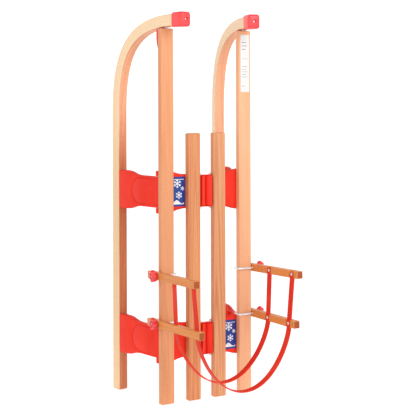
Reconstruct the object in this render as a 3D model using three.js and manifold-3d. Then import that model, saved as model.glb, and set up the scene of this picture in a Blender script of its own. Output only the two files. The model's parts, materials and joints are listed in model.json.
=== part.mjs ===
// A folding wooden toboggan with a clamp-on backrest, standing upright on its rear end. Millimetres.
// +Z runs along the toboggan from the rear end to the horns, -Y is the side that is sat on, and +X is
// the right-hand side as seen by someone facing the seat. The origin is below the middle of its box.
//
// It folds in a V: the two middle slats drop between the runners on hinged wings, and the two side
// frames, each a runner with its outer rail and legs, come together and stay parallel.
import * as THREE from "three";
import { mergeVertices } from "three/addons/utils/BufferGeometryUtils.js";
import Module from "manifold-3d";

const wasm = await Module();
wasm.setup();

// ---- Driving dimensions -------------------------------------------------------------------------
const GAP = 0.3; // between two pieces that touch

const SEAT_Y = -5.7; // the seat's surface, placed so that the whole part is centred on Y
const RUNNER_DROP = 200; // from the seat's surface to a runner's inner face, along Y

const SLAT = { thick: 18.7, round: 3 }; // the rails and the middle slats share this
const RAIL = { x: 120.9, wide: 38.4, length: 1000.3 };
const MID_SLAT = { x: 39.2, wide: 37.6, length: 720 };
const UNDER_SEAT_Y = SEAT_Y + SLAT.thick; // underside of the wood of the seat

const LEAN = THREE.MathUtils.degToRad(10.66); // how far each runner and its legs lean outward
const RUNNER = { deep: 31.4, wide: 28.2, round: 3 };
const RUNNER_TOP_X = 157; // middle of the runner's inner face, which the legs stand on
const RUNNER_TOP_Y = SEAT_Y + RUNNER_DROP;
const CURL = { startZ: 775, bendU: 238, endU: 250, endZ: 1020.5, pull: 0.72, steps: 22 };

const BRACKET_Z = { front: 563, rear: 162 };
const LEG = { thick: 14, footHalf: 52, waistHalf: 42, flange: 6 };
const OUTER_AXIS = { x: 130, y: SEAT_Y + 33 }; // wing to leg
const INNER_AXIS = { x: 14.8, y: SEAT_Y + 13 }; // wing to centre link
const PIN_RADIUS = 3;
const WING = { top: 19, thick: 11, midHalf: 46.5, railHalf: 55.4, lugFrom: 43.4, lugTo: 57, forkX: 112 };
const KNUCKLE = { radius: 14.2, half: 40.5, plateFrom: 20.5, notchX: 15.2, notchDeep: 8.5 };
const LINK = { radius: 5.2, from: 41, to: 43.5 };
const CENTRE_PIN_HALF = 48.5;

const ARM = { wide: 17.7, tall: 19.6, round: 1.5, below: 47 };
const ARM_INNER_X = 140.5;
const ARM_ROW = {
  upper: { z: 344.5, reach: 218, rise: 1.8, splay: 1.2 },
  lower: { z: 218.2, reach: 221, rise: 1.35, splay: -2 },
};
const BOLT = { radius: 2.9, above: 3.6, endX: -167.5, hookX: 98.3, bend: 6, hookDown: 18 };
const KNOB = { lobes: 7, radius: 16.4, wave: 1.8, thick: 13.5, bore: 3.3 };
const HOOP = { wide: 20, thick: 3, topZ: 353.5, bottomZ: 61, bendZ: 212, clear: 1.5 };
const REBATE = { deep: 6.5, wide: 21.6 }; // cut across an arm for a hoop
const HOOP_OUT = { inner: 84, outer: 190.5 }; // distance of each hoop's middle from the seat
const HOOP_SCREW = { head: 4, headThick: 2, shank: 1.8, length: 12 };

const CAP = { from: 240.3, to: 284, tall: 39.6, wide: 33.4, round: 5, pocket: 251, z: 1020.8 };
const CAP_SCREW = { head: 3.4, recess: 4, shank: 1.75, end: 258 };
const BLOCK = { wide: 25, fromZ: 936, toZ: 998.6, backU: 170.2, railU: 190 };
const HORN_SCREW = { head: 5, headThick: 2.5, headZ: 1029.5, shank: 2.2, endZ: 955 }; // head sunk in the curl
const HORN_SCREW_Y = SEAT_Y + SLAT.thick / 2;
const LABEL = { wide: 28, tall: 158, z: 910, thick: 0.3, lift: 0.1 };
const STICKER = { fromX: 58.3, toX: 101.4, half: 40, thick: 0.3, lift: 0.1 };

const SIDES = { left: -1, right: 1 };
const Z_AXIS = new THREE.Vector3(0, 0, 1);

// ---- Materials ----------------------------------------------------------------------------------
const surface = (color, roughness, metalness = 0) =>
  new THREE.MeshStandardMaterial({ color, roughness, metalness });
const MATERIAL = {
  runner: surface(0xe9c49a, 0.45),
  beech: surface(0xe8a877, 0.45),
  red: surface(0xea3a2c, 0.35),
  cap: surface(0xf4514c, 0.3),
  knob: surface(0xf0484c, 0.2),
  steel: surface(0xc9ccd0, 0.3, 1),
  label: surface(0xf2f1ee, 0.5),
  sticker: surface(0x1c3f92, 0.35),
};

// ---- Solids -------------------------------------------------------------------------------------
function solid(geometry) {
  const bare = geometry.index ? geometry.toNonIndexed() : geometry.clone();
  const positions = new THREE.BufferGeometry();
  positions.setAttribute("position", bare.getAttribute("position"));
  const merged = mergeVertices(positions, 1e-3);
  return new wasm.Manifold(
    new wasm.Mesh({
      numProp: 3,
      vertProperties: merged.attributes.position.array,
      triVerts: new Uint32Array(merged.index.array),
    }),
  );
}

function geometryOf(manifold) {
  const mesh = manifold.getMesh();
  const geometry = new THREE.BufferGeometry();
  geometry.setAttribute("position", new THREE.BufferAttribute(mesh.vertProperties, mesh.numProp));
  geometry.setIndex(new THREE.BufferAttribute(mesh.triVerts, 1));
  return geometry;
}

function union(...solids) {
  return solids.reduce((whole, piece) => whole.add(piece));
}

function less(whole, ...cutters) {
  return cutters.reduce((rest, cutter) => rest.subtract(cutter), whole);
}

// The same solid on the other side of the toboggan's middle plane.
function mirroredX(geometry) {
  const flat = geometry.index ? geometry.toNonIndexed() : geometry.clone();
  const p = flat.getAttribute("position").array.slice();
  for (let i = 0; i < p.length; i += 9) {
    for (let k = 0; k < 9; k += 3) p[i + k] = -p[i + k];
    for (let k = 0; k < 3; k++) [p[i + 3 + k], p[i + 6 + k]] = [p[i + 6 + k], p[i + 3 + k]];
  }
  const turned = new THREE.BufferGeometry();
  turned.setAttribute("position", new THREE.BufferAttribute(p, 3));
  return turned;
}

function box(x0, x1, y0, y1, z0, z1) {
  return new THREE.BoxGeometry(x1 - x0, y1 - y0, z1 - z0).translate(
    (x0 + x1) / 2,
    (y0 + y1) / 2,
    (z0 + z1) / 2,
  );
}

// A cylinder along x, y or z between two coordinates, centred on the other two.
function rod(axis, from, to, radius, a, b, sides = 16) {
  const g = new THREE.CylinderGeometry(radius, radius, to - from, sides);
  const middle = (from + to) / 2;
  if (axis === "x") return g.rotateZ(Math.PI / 2).translate(middle, a, b);
  if (axis === "y") return g.translate(a, middle, b);
  return g.rotateX(Math.PI / 2).translate(a, b, middle);
}

function roundedRect(wide, tall, round, steps = 3) {
  const s = new THREE.Shape();
  const x = wide / 2 - round;
  const y = tall / 2 - round;
  for (const [cx, cy, turn] of [[x, y, 0], [-x, y, 1], [-x, -y, 2], [x, -y, 3]]) {
    for (let i = 0; i <= steps; i++) {
      const angle = ((turn + i / steps) * Math.PI) / 2;
      const px = cx + round * Math.cos(angle);
      const py = cy + round * Math.sin(angle);
      if (turn === 0 && i === 0) s.moveTo(px, py);
      else s.lineTo(px, py);
    }
  }
  s.closePath();
  return s;
}

// An extrusion along z with rounded edges, from z = 0 to depth, that stays inside the shape's outline.
function extrude(shape, depth, round = 0, bevelSegments = 1) {
  return new THREE.ExtrudeGeometry(shape, {
    depth: depth - 2 * round,
    curveSegments: 5,
    bevelEnabled: round > 0,
    bevelThickness: round,
    bevelSize: round,
    bevelOffset: -round,
    bevelSegments,
  }).translate(0, 0, round);
}

// Left side frame: u runs up the leg from the runner's inner face, v outward through its thickness.
const U = new THREE.Vector3(Math.sin(LEAN), -Math.cos(LEAN), 0);
const V = new THREE.Vector3(-Math.cos(LEAN), -Math.sin(LEAN), 0);
const LEG_PLANE = new THREE.Matrix4()
  .makeBasis(U, Z_AXIS, V)
  .setPosition(-RUNNER_TOP_X, RUNNER_TOP_Y, 0);
const onLegPlane = (geometry) => geometry.applyMatrix4(LEG_PLANE);

const root = new THREE.Group();
root.name = "toboggan";

function addPiece(name, geometry, material) {
  const piece = new THREE.Mesh(geometry, material);
  piece.name = name;
  root.add(piece);
}

// Adds a piece made for the left side, or its mirror image.
function addSide(name, side, leftGeometry, material) {
  addPiece(name, side === "left" ? leftGeometry : mirroredX(leftGeometry), material);
}

// ---- Runner, horn cap, horn block ---------------------------------------------------------------
// The middle line of a runner: straight from the rear end, then one smooth curl over the rail's end.
function runnerLine() {
  const startU = -RUNNER.deep / 2;
  const curl = new THREE.CubicBezierCurve(
    new THREE.Vector2(startU, CURL.startZ),
    new THREE.Vector2(startU, CURL.startZ + CURL.pull * (CURL.endZ - CURL.startZ)),
    new THREE.Vector2(startU + (1 - CURL.pull) * (CURL.bendU - startU), CURL.endZ),
    new THREE.Vector2(CURL.bendU, CURL.endZ),
  );
  const line = [{ p: new THREE.Vector2(startU, 0), t: new THREE.Vector2(0, 1) }];
  for (let i = 0; i <= CURL.steps; i++) {
    const at = i / CURL.steps;
    line.push({ p: curl.getPoint(at), t: curl.getTangent(at) });
  }
  line.push({ p: new THREE.Vector2(CURL.endU, CURL.endZ), t: new THREE.Vector2(1, 0) });
  return line;
}

function leftRunner() {
  const half = RUNNER.deep / 2;
  const side = (sign) =>
    runnerLine().map(({ p, t }) => new THREE.Vector2(p.x - sign * half * t.y, p.y + sign * half * t.x));
  const outline = new THREE.Shape([...side(1), ...side(-1).reverse()]);
  const beam = extrude(outline, RUNNER.wide, RUNNER.round).translate(0, 0, -RUNNER.wide / 2);
  const capScrewHole = rod("x", CAP_SCREW.end - 30, CURL.endU + 10, CAP_SCREW.shank + GAP, CAP.z, 0, 12);
  const outside = CURL.endZ + RUNNER.deep;
  const { headZ, head, shank } = HORN_SCREW;
  const hornHole = rod("z", HORN_SCREW.endZ, outside, shank + GAP, -RAIL.x, HORN_SCREW_Y, 14);
  const headHole = rod("z", headZ - GAP, outside, head + GAP, -RAIL.x, HORN_SCREW_Y, 14);
  return geometryOf(
    less(solid(onLegPlane(beam)), solid(onLegPlane(capScrewHole)), solid(hornHole), solid(headHole)),
  );
}

function leftHornCap() {
  const body = extrude(roundedRect(CAP.wide, CAP.tall, CAP.round), CAP.to - CAP.from, 3)
    .rotateY(Math.PI / 2)
    .translate(CAP.from, CAP.z, 0);
  const play = 2 * (GAP + 0.1);
  const pocket = new THREE.BoxGeometry(2 * (CAP.pocket - CAP.from), RUNNER.deep + play, RUNNER.wide + play)
    .translate(CAP.from, CURL.endZ, 0);
  const bore = rod("x", CAP.from, CAP.to + 1, CAP_SCREW.shank + GAP, CAP.z, 0, 12);
  const recess = rod("x", CAP.to - CAP_SCREW.recess, CAP.to + 1, CAP_SCREW.head + GAP, CAP.z, 0, 16);
  const cap = less(solid(body), solid(pocket), solid(bore), solid(recess));
  return onLegPlane(geometryOf(cap));
}

function leftCapScrew() {
  const headFrom = CAP.to - CAP_SCREW.recess + GAP;
  const head = rod("x", headFrom, headFrom + 2, CAP_SCREW.head, CAP.z, 0, 16);
  const shank = rod("x", CAP_SCREW.end - 25, headFrom + 1, CAP_SCREW.shank, CAP.z, 0, 12);
  return onLegPlane(geometryOf(union(solid(head), solid(shank))));
}

// A wedge behind the rail's front end, standing in the plane of the leg.
function leftHornBlock() {
  const { fromZ, toZ, backU, railU, wide } = BLOCK;
  const edge = [[railU, fromZ], [184, fromZ], [180, 942], [175, 952], [171.5, 964], [backU, 974]];
  const corners = [...edge, [backU, toZ], [railU, toZ]].map(([u, z]) => new THREE.Vector2(u, z));
  const profile = new THREE.Shape(corners);
  const wedge = extrude(profile, wide).translate(0, 0, -wide / 2);
  const rail = box(-200, 0, SEAT_Y - 20, UNDER_SEAT_Y + GAP, fromZ - 10, toZ + 10);
  return geometryOf(less(solid(onLegPlane(wedge)), solid(rail)));
}

function leftHornScrew() {
  const { headZ, headThick, endZ } = HORN_SCREW;
  const head = rod("z", headZ, headZ + headThick, HORN_SCREW.head, -RAIL.x, HORN_SCREW_Y, 14);
  const shank = rod("z", endZ, headZ + 1, HORN_SCREW.shank, -RAIL.x, HORN_SCREW_Y, 12);
  return geometryOf(union(solid(head), solid(shank)));
}

// ---- Rails and slats ----------------------------------------------------------------------------
function seatBar({ x, wide, length }) {
  const bar = extrude(roundedRect(wide, SLAT.thick, SLAT.round), length);
  return bar.translate(x, SEAT_Y + SLAT.thick / 2, 0);
}

function leftRail() {
  const { endZ, shank } = HORN_SCREW;
  const hole = rod("z", endZ - 5, RAIL.length + 5, shank + GAP, -RAIL.x, HORN_SCREW_Y, 14);
  return geometryOf(less(solid(mirroredX(seatBar(RAIL))), solid(hole)));
}

// ---- Folding brackets ---------------------------------------------------------------------------
// A leg: a plate from the runner to the rail, widest at its foot, with a barrel for the wing's pin.
function leftLeg(z) {
  const half = [
    [0, LEG.footHalf - 2],
    [20, LEG.footHalf],
    [43, LEG.footHalf],
    [58, 49],
    [76, 44.5],
    [95, LEG.waistHalf],
    [200, LEG.waistHalf],
  ];
  const edge = half.map(([u, h]) => new THREE.Vector2(u, h));
  const upper = [edge[0], ...new THREE.SplineCurve(edge.slice(1, 6)).getPoints(8), edge[6]];
  const lower = upper.map((p) => new THREE.Vector2(p.x, -p.y)).reverse();
  const plate = extrude(new THREE.Shape([...upper, ...lower]), LEG.thick, 1.5)
    .translate(GAP, z, RUNNER.wide / 2 - LEG.thick);
  const flange = extrude(roundedRect(RUNNER.wide - 1, 2 * LEG.footHalf - 4, 4), LEG.flange)
    .rotateY(Math.PI / 2)
    .translate(GAP, z, 0);
  const barrel = rod("z", z - LEG.waistHalf, z + LEG.waistHalf, 9, -OUTER_AXIS.x, OUTER_AXIS.y, 24);
  const pad = box(-137.5, -117, UNDER_SEAT_Y + GAP, UNDER_SEAT_Y + 6, z - LEG.waistHalf, z + LEG.waistHalf);
  const aboveRail = box(-200, 0, SEAT_Y - 60, UNDER_SEAT_Y + GAP, z - 80, z + 80);
  const bore = rod("z", z - 70, z + 70, PIN_RADIUS + GAP, -OUTER_AXIS.x, OUTER_AXIS.y, 16);
  const leg = union(solid(onLegPlane(plate)), solid(onLegPlane(flange)), solid(barrel), solid(pad));
  return geometryOf(less(leg, solid(aboveRail), solid(bore)));
}

// A wing: a plate under the rail and the middle slat, two lugs at the leg and a knuckle at the middle.
function leftWing(z) {
  const half = [
    [KNUCKLE.plateFrom, WING.midHalf],
    [60, WING.midHalf],
    [78, 49.2],
    [92, 53.4],
    [106, WING.railHalf],
    [122, WING.lugTo],
    [OUTER_AXIS.x, WING.lugTo],
  ];
  const edge = half.map(([x, h]) => new THREE.Vector2(-x, h));
  const upper = [edge[0], ...new THREE.SplineCurve(edge.slice(1, 6)).getPoints(8), edge[6]];
  const lower = upper.map((p) => new THREE.Vector2(p.x, -p.y)).reverse();
  const plate = extrude(new THREE.Shape([...upper, ...lower]), WING.thick, 1)
    .rotateX(Math.PI / 2)
    .translate(0, SEAT_Y + WING.top + WING.thick, z);
  const lugs = rod("z", z - WING.lugTo, z + WING.lugTo, 8.5, -OUTER_AXIS.x, OUTER_AXIS.y, 24);
  const { lugFrom, lugTo, forkX } = WING;
  const lugWeb = box(-OUTER_AXIS.x, -forkX, SEAT_Y + WING.top + 3, OUTER_AXIS.y + 7, z - lugTo, z + lugTo);
  const fork = box(-160, -forkX, SEAT_Y, SEAT_Y + 80, z - lugFrom, z + lugFrom);
  const overLug = box(-160, -WING.forkX, SEAT_Y, OUTER_AXIS.y - 8.5, z - 80, z + 80);
  const [low, high] = [z - KNUCKLE.half, z + KNUCKLE.half];
  const knuckle = rod("z", low, high, KNUCKLE.radius, -INNER_AXIS.x, INNER_AXIS.y, 24);
  const web = box(-KNUCKLE.plateFrom - 5, -INNER_AXIS.x, SEAT_Y + WING.top, SEAT_Y + 25, low, high);
  const slatEdge = -(MID_SLAT.x - MID_SLAT.wide / 2 - GAP);
  const slatRoom = box(-90, slatEdge, SEAT_Y - 20, SEAT_Y + WING.top, z - 80, z + 80);
  const besideSlat = box(-30, -KNUCKLE.notchX, SEAT_Y - 20, SEAT_Y + KNUCKLE.notchDeep, z - 80, z + 80);
  const outerBore = rod("z", z - 70, z + 70, PIN_RADIUS + GAP, -OUTER_AXIS.x, OUTER_AXIS.y, 16);
  const innerBore = rod("z", z - 70, z + 70, PIN_RADIUS + GAP, -INNER_AXIS.x, INNER_AXIS.y, 16);
  const body = union(...[plate, lugs, lugWeb, knuckle, web].map(solid));
  return geometryOf(less(body, ...[fork, overLug, slatRoom, besideSlat, outerBore, innerBore].map(solid)));
}

// A short link across the middle that joins the pins of the two wings at one end of a bracket.
function centreLink(z0, z1) {
  const bar = new THREE.Shape();
  bar.absarc(INNER_AXIS.x, 0, LINK.radius, -Math.PI / 2, Math.PI / 2);
  bar.absarc(-INNER_AXIS.x, 0, LINK.radius, Math.PI / 2, (3 * Math.PI) / 2);
  bar.closePath();
  const plate = extrude(bar, z1 - z0).translate(0, INNER_AXIS.y, z0);
  const bore = (x) => rod("z", z0 - 5, z1 + 5, PIN_RADIUS + GAP, x, INNER_AXIS.y, 16);
  const bores = [bore(-INNER_AXIS.x), bore(INNER_AXIS.x)];
  return geometryOf(less(solid(plate), ...bores.map(solid)));
}

// ---- Backrest -----------------------------------------------------------------------------------
// How far under the seat's surface an arm's sideways lean starts, so that it clears the rail's edge.
const leanDepth = (row) => (row.splay > 0 ? SLAT.thick : 0);

// Turns a piece made square to the seat the way its arm stands: a little up, and out or in.
function asArm(geometry, row) {
  return geometry
    .translate(0, -SEAT_Y, -row.z)
    .rotateX(-THREE.MathUtils.degToRad(row.rise))
    .translate(ARM_INNER_X, -leanDepth(row), 0)
    .rotateZ(-THREE.MathUtils.degToRad(row.splay))
    .translate(-ARM_INNER_X, SEAT_Y + leanDepth(row), row.z);
}

// X of an arm's inner face at a distance out from the seat.
const armFaceX = (row, out) =>
  ARM_INNER_X + (out + leanDepth(row)) * Math.tan(THREE.MathUtils.degToRad(row.splay));
// Z of an arm's middle line at a distance out from the seat.
const armZ = (row, out) => row.z + out * Math.tan(THREE.MathUtils.degToRad(row.rise));

function leftArm(row) {
  const length = row.reach + ARM.below;
  const bar = extrude(roundedRect(ARM.wide, ARM.tall, ARM.round, 2), length, 1)
    .rotateX(Math.PI / 2)
    .translate(-ARM_INNER_X - ARM.wide / 2, SEAT_Y + ARM.below, row.z);
  const boltHole = rod("x", -200, -100, BOLT.radius + GAP, SEAT_Y - BOLT.above, row.z, 16);
  const screwHoles = Object.values(HOOP_OUT).map((out) => {
    const face = -armFaceX(row, out);
    return rod("x", face - ARM.wide, face + 10, HOOP_SCREW.shank + GAP, SEAT_Y - out, armZ(row, out), 12);
  });
  const rebates = Object.values(HOOP_OUT).map((out) => {
    const [x, y, z] = [-armFaceX(row, out), SEAT_Y - out, armZ(row, out)];
    return box(x - REBATE.deep, x + 10, y - REBATE.wide / 2, y + REBATE.wide / 2, z - ARM.tall, z + ARM.tall);
  });
  return geometryOf(less(solid(asArm(bar, row)), ...[boltHole, ...screwHoles, ...rebates].map(solid)));
}

// A bolt through the arm and across the rail, bent down over the rail's inner edge.
function leftHookBolt(row) {
  const y = SEAT_Y - BOLT.above;
  const corner = new THREE.Vector3(-BOLT.hookX, y, row.z);
  const path = new THREE.CurvePath();
  const bendFrom = corner.clone().add(new THREE.Vector3(-BOLT.bend, 0, 0));
  const bendTo = corner.clone().add(new THREE.Vector3(0, BOLT.bend, 0));
  path.add(new THREE.LineCurve3(new THREE.Vector3(BOLT.endX, y, row.z), bendFrom));
  path.add(new THREE.QuadraticBezierCurve3(bendFrom, corner, bendTo));
  path.add(new THREE.LineCurve3(bendTo, new THREE.Vector3(-BOLT.hookX, SEAT_Y + BOLT.hookDown, row.z)));
  const section = new THREE.Shape().absarc(0, 0, BOLT.radius, 0, 2 * Math.PI);
  return new THREE.ExtrudeGeometry(section, { extrudePath: path, steps: 18, curveSegments: 4 });
}

function leftKnob(row) {
  const points = [];
  const steps = KNOB.lobes * 4;
  for (let i = 0; i < steps; i++) {
    const angle = (i / steps) * 2 * Math.PI;
    const r = KNOB.radius - KNOB.wave + KNOB.wave * Math.cos(KNOB.lobes * angle);
    points.push(new THREE.Vector2(r * Math.cos(angle), r * Math.sin(angle)));
  }
  const star = extrude(new THREE.Shape(points), KNOB.thick, 2).rotateY(-Math.PI / 2);
  const furthest = Math.sign(row.splay) * KNOB.radius; // where the arm's outer face stands out most
  const face = armFaceX(row, BOLT.above + furthest) + ARM.wide + GAP;
  star.translate(-face, SEAT_Y - BOLT.above, row.z);
  const bore = rod("x", BOLT.endX - 1, -face + 1, KNOB.bore, SEAT_Y - BOLT.above, row.z, 16);
  return geometryOf(less(solid(star), solid(bore)));
}

// One hoop: a flat strip down the inside of the left arms, round below them and up the right arms.
function hoop(out) {
  const { upper, lower } = ARM_ROW;
  const stripX = (row) => armFaceX(row, out) + REBATE.deep - HOOP.clear - HOOP.thick / 2;
  const topX = stripX(upper) + (HOOP.topZ - upper.z) * ((stripX(upper) - stripX(lower)) / (upper.z - lower.z));
  const halfLine = [
    new THREE.Vector2(topX, HOOP.topZ),
    ...new THREE.CubicBezierCurve(
      new THREE.Vector2(stripX(lower), HOOP.bendZ),
      new THREE.Vector2(stripX(lower) - 7, HOOP.bendZ - 52),
      new THREE.Vector2(80, HOOP.bottomZ + HOOP.thick / 2),
      new THREE.Vector2(0, HOOP.bottomZ + HOOP.thick / 2),
    ).getPoints(14),
  ];
  halfLine.splice(1, 0, new THREE.Vector2(stripX(lower), lower.z));
  const line = [...halfLine, ...halfLine.slice(0, -1).reverse().map((p) => new THREE.Vector2(-p.x, p.y))];
  const normals = line.map((p, i) => {
    const next = line[Math.min(i + 1, line.length - 1)];
    const along = next.clone().sub(line[Math.max(i - 1, 0)]).normalize();
    return new THREE.Vector2(-along.y, along.x);
  });
  const side = (s) => line.map((p, i) => p.clone().addScaledVector(normals[i], (s * HOOP.thick) / 2));
  const strip = extrude(new THREE.Shape([...side(1), ...side(-1).reverse()]), HOOP.wide)
    .rotateX(Math.PI / 2)
    .translate(0, SEAT_Y - out + HOOP.wide / 2, 0);
  const holes = [upper, lower].map((row) =>
    rod("x", -200, 200, HOOP_SCREW.shank + GAP, SEAT_Y - out, armZ(row, out), 12),
  );
  return geometryOf(less(solid(strip), ...holes.map(solid)));
}

function leftHoopScrew(row, out) {
  const face = -armFaceX(row, out) - REBATE.deep + HOOP.clear + HOOP.thick + 0.7;
  const y = SEAT_Y - out;
  const z = armZ(row, out);
  const head = rod("x", face, face + HOOP_SCREW.headThick, HOOP_SCREW.head, y, z, 16);
  const shank = rod("x", face - HOOP_SCREW.length, face + 1, HOOP_SCREW.shank, y, z, 12);
  return geometryOf(union(solid(head), solid(shank)));
}

// ---- The toboggan -------------------------------------------------------------------------------
for (const side of Object.keys(SIDES)) {
  addSide(`runner_${side}`, side, leftRunner(), MATERIAL.runner);
  addSide(`horn_cap_${side}`, side, leftHornCap(), MATERIAL.cap);
  addSide(`horn_cap_screw_${side}`, side, leftCapScrew(), MATERIAL.steel);
  addSide(`horn_block_${side}`, side, leftHornBlock(), MATERIAL.red);
  addSide(`horn_screw_${side}`, side, leftHornScrew(), MATERIAL.steel);
  addSide(`outer_rail_${side}`, side, leftRail(), MATERIAL.beech);
  addSide(`middle_slat_${side}`, side, mirroredX(seatBar(MID_SLAT)), MATERIAL.beech);
  for (const [end, z] of Object.entries(BRACKET_Z)) {
    addSide(`${end}_leg_${side}`, side, leftLeg(z), MATERIAL.red);
    addSide(`${end}_wing_${side}`, side, leftWing(z), MATERIAL.red);
    const x = SIDES[side];
    const outerPin = rod("z", z - 55, z + 55, PIN_RADIUS, x * OUTER_AXIS.x, OUTER_AXIS.y, 16);
    addPiece(`${end}_hinge_pin_${side}`, outerPin, MATERIAL.steel);
    const [low, high] = [z - CENTRE_PIN_HALF, z + CENTRE_PIN_HALF];
    const centrePin = rod("z", low, high, PIN_RADIUS, x * INNER_AXIS.x, INNER_AXIS.y, 16);
    addPiece(`${end}_centre_pin_${side}`, centrePin, MATERIAL.steel);
  }
  for (const [name, row] of Object.entries(ARM_ROW)) {
    addSide(`${name}_arm_${side}`, side, leftArm(row), MATERIAL.beech);
    addSide(`${name}_hook_bolt_${side}`, side, leftHookBolt(row), MATERIAL.steel);
    addSide(`${name}_knob_${side}`, side, leftKnob(row), MATERIAL.knob);
    for (const [which, out] of Object.entries(HOOP_OUT)) {
      addSide(`${name}_${which}_hoop_screw_${side}`, side, leftHoopScrew(row, out), MATERIAL.steel);
    }
  }
}
for (const [end, z] of Object.entries(BRACKET_Z)) {
  addPiece(`${end}_centre_link_upper`, centreLink(z + LINK.from, z + LINK.to), MATERIAL.red);
  addPiece(`${end}_centre_link_lower`, centreLink(z - LINK.to, z - LINK.from), MATERIAL.red);
}
for (const [which, out] of Object.entries(HOOP_OUT)) addPiece(`${which}_hoop`, hoop(out), MATERIAL.red);

function sticker(sign, z) {
  const wide = STICKER.toX - STICKER.fromX;
  const plate = extrude(roundedRect(wide, 2 * STICKER.half, 3), STICKER.thick).rotateX(Math.PI / 2);
  return plate.translate((sign * (STICKER.fromX + STICKER.toX)) / 2, SEAT_Y + WING.top - STICKER.lift, z);
}
addPiece("sticker_front", sticker(SIDES.left, BRACKET_Z.front), MATERIAL.sticker);
addPiece("sticker_rear", sticker(SIDES.right, BRACKET_Z.rear), MATERIAL.sticker);

const label = extrude(roundedRect(LABEL.wide, LABEL.tall, 2), LABEL.thick).rotateX(Math.PI / 2);
addPiece("rail_label", label.translate(RAIL.x, SEAT_Y - LABEL.lift, LABEL.z), MATERIAL.label);

export default root;
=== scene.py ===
"""The looks of a folding wooden toboggan with a clamp-on backrest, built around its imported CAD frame.

Metres, +Z up along the toboggan, -Y out of the seat. Pieces are made for the left side (x < 0) and
mirrored to the right. "u" runs up a leg from its runner, "v" outward through the leg.
"""
import json
import math

import bmesh
import bpy
import numpy as np
from mathutils import Matrix, Vector

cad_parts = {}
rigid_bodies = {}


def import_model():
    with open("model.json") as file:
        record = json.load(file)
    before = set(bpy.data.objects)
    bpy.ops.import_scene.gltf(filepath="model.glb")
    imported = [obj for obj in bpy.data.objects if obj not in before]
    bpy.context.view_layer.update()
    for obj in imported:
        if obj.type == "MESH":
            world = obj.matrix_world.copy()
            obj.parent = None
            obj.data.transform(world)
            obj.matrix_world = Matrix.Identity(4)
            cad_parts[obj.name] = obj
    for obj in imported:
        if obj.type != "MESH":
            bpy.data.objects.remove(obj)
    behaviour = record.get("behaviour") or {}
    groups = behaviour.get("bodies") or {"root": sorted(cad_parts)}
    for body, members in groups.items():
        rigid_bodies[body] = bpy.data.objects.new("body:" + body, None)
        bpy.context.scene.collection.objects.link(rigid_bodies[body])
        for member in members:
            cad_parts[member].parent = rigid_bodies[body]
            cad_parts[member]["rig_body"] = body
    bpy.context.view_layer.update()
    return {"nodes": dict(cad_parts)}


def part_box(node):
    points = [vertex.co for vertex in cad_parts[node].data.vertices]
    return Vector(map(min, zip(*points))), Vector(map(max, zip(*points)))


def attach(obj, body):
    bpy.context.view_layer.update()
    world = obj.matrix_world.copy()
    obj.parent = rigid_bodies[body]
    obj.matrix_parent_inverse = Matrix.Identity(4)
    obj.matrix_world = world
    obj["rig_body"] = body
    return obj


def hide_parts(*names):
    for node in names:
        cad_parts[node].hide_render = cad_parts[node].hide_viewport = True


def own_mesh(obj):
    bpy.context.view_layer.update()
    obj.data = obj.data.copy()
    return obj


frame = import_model()

MM = 0.001
SIDES = ("left", "right")
ENDS = ("front", "rear")
ROWS = ("upper", "lower")
HOOPS = ("inner", "outer")

# ---- Places taken from the frame ----
def span(node):
    """A CAD node's middle and its size along x, y and z."""
    low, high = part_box(node)
    return (low + high) / 2, high - low


def middle(node):
    return span(node)[0]


RAIL_LOW, RAIL_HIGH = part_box("outer_rail_left")
SEAT_Y, UNDER_SEAT_Y = RAIL_LOW.y, RAIL_HIGH.y
RAIL_X = -(RAIL_LOW.x + RAIL_HIGH.x) / 2
SLAT_INNER_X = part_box("middle_slat_left")[1].x


OUTER_PIN = middle("front_hinge_pin_left")
CENTRE_PIN = middle("front_centre_pin_left")
BRACKET_Z = {end: middle(f"{end}_hinge_pin_left").z for end in ENDS}

# ---- Sizes ----
WOOD_EDGE = 3.0 * MM
LEAN = math.radians(10.66)
RUNNER_DEEP, RUNNER_WIDE = 31.4 * MM, 28.2 * MM
RUNNER_TOP = Vector((-157 * MM, SEAT_Y + 200 * MM, 0))
CURL_START_Z, CURL_Z = 775 * MM, 1020.5 * MM
CURL_TIP_U, CURL_PULL = 238 * MM, 0.72
RUNNER_END_U = 250 * MM
RUNNER_GRAIN = 5.3  # where the runners lie along the wood's pattern
PAINTED_SHADE_FADE_SPAN = (RUNNER_GRAIN + 0.55, RUNNER_GRAIN + 0.8)  # painted shade: the runner is coloured darker below this span, fading out into its curl
U_AXIS = Vector((math.sin(LEAN), -math.cos(LEAN), 0))
V_AXIS = Vector((-math.cos(LEAN), -math.sin(LEAN), 0))
X_AXIS, Y_AXIS, Z_AXIS = (Vector(a) for a in ((1, 0, 0), (0, 1, 0), (0, 0, 1)))

LEG_THICK = 14 * MM
TONGUE_U, TONGUE_HALF, TONGUE_RISE = 99 * MM, 34.5 * MM, 1.9 * MM
BORE_RADIUS = 3.3 * MM  # for the 6 mm hinge pins
KNUCKLE_RADIUS, KNUCKLE_HALF = 14.2 * MM, 40.5 * MM
WING_TOP = SEAT_Y + 19 * MM
WING_THICK = 11 * MM
CAP_LOW, CAP_HIGH, CAP_Z = 240.3 * MM, 284 * MM, 1020.8 * MM
CAP_WIDE, CAP_TALL = 33.4 * MM, 39.6 * MM

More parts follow.
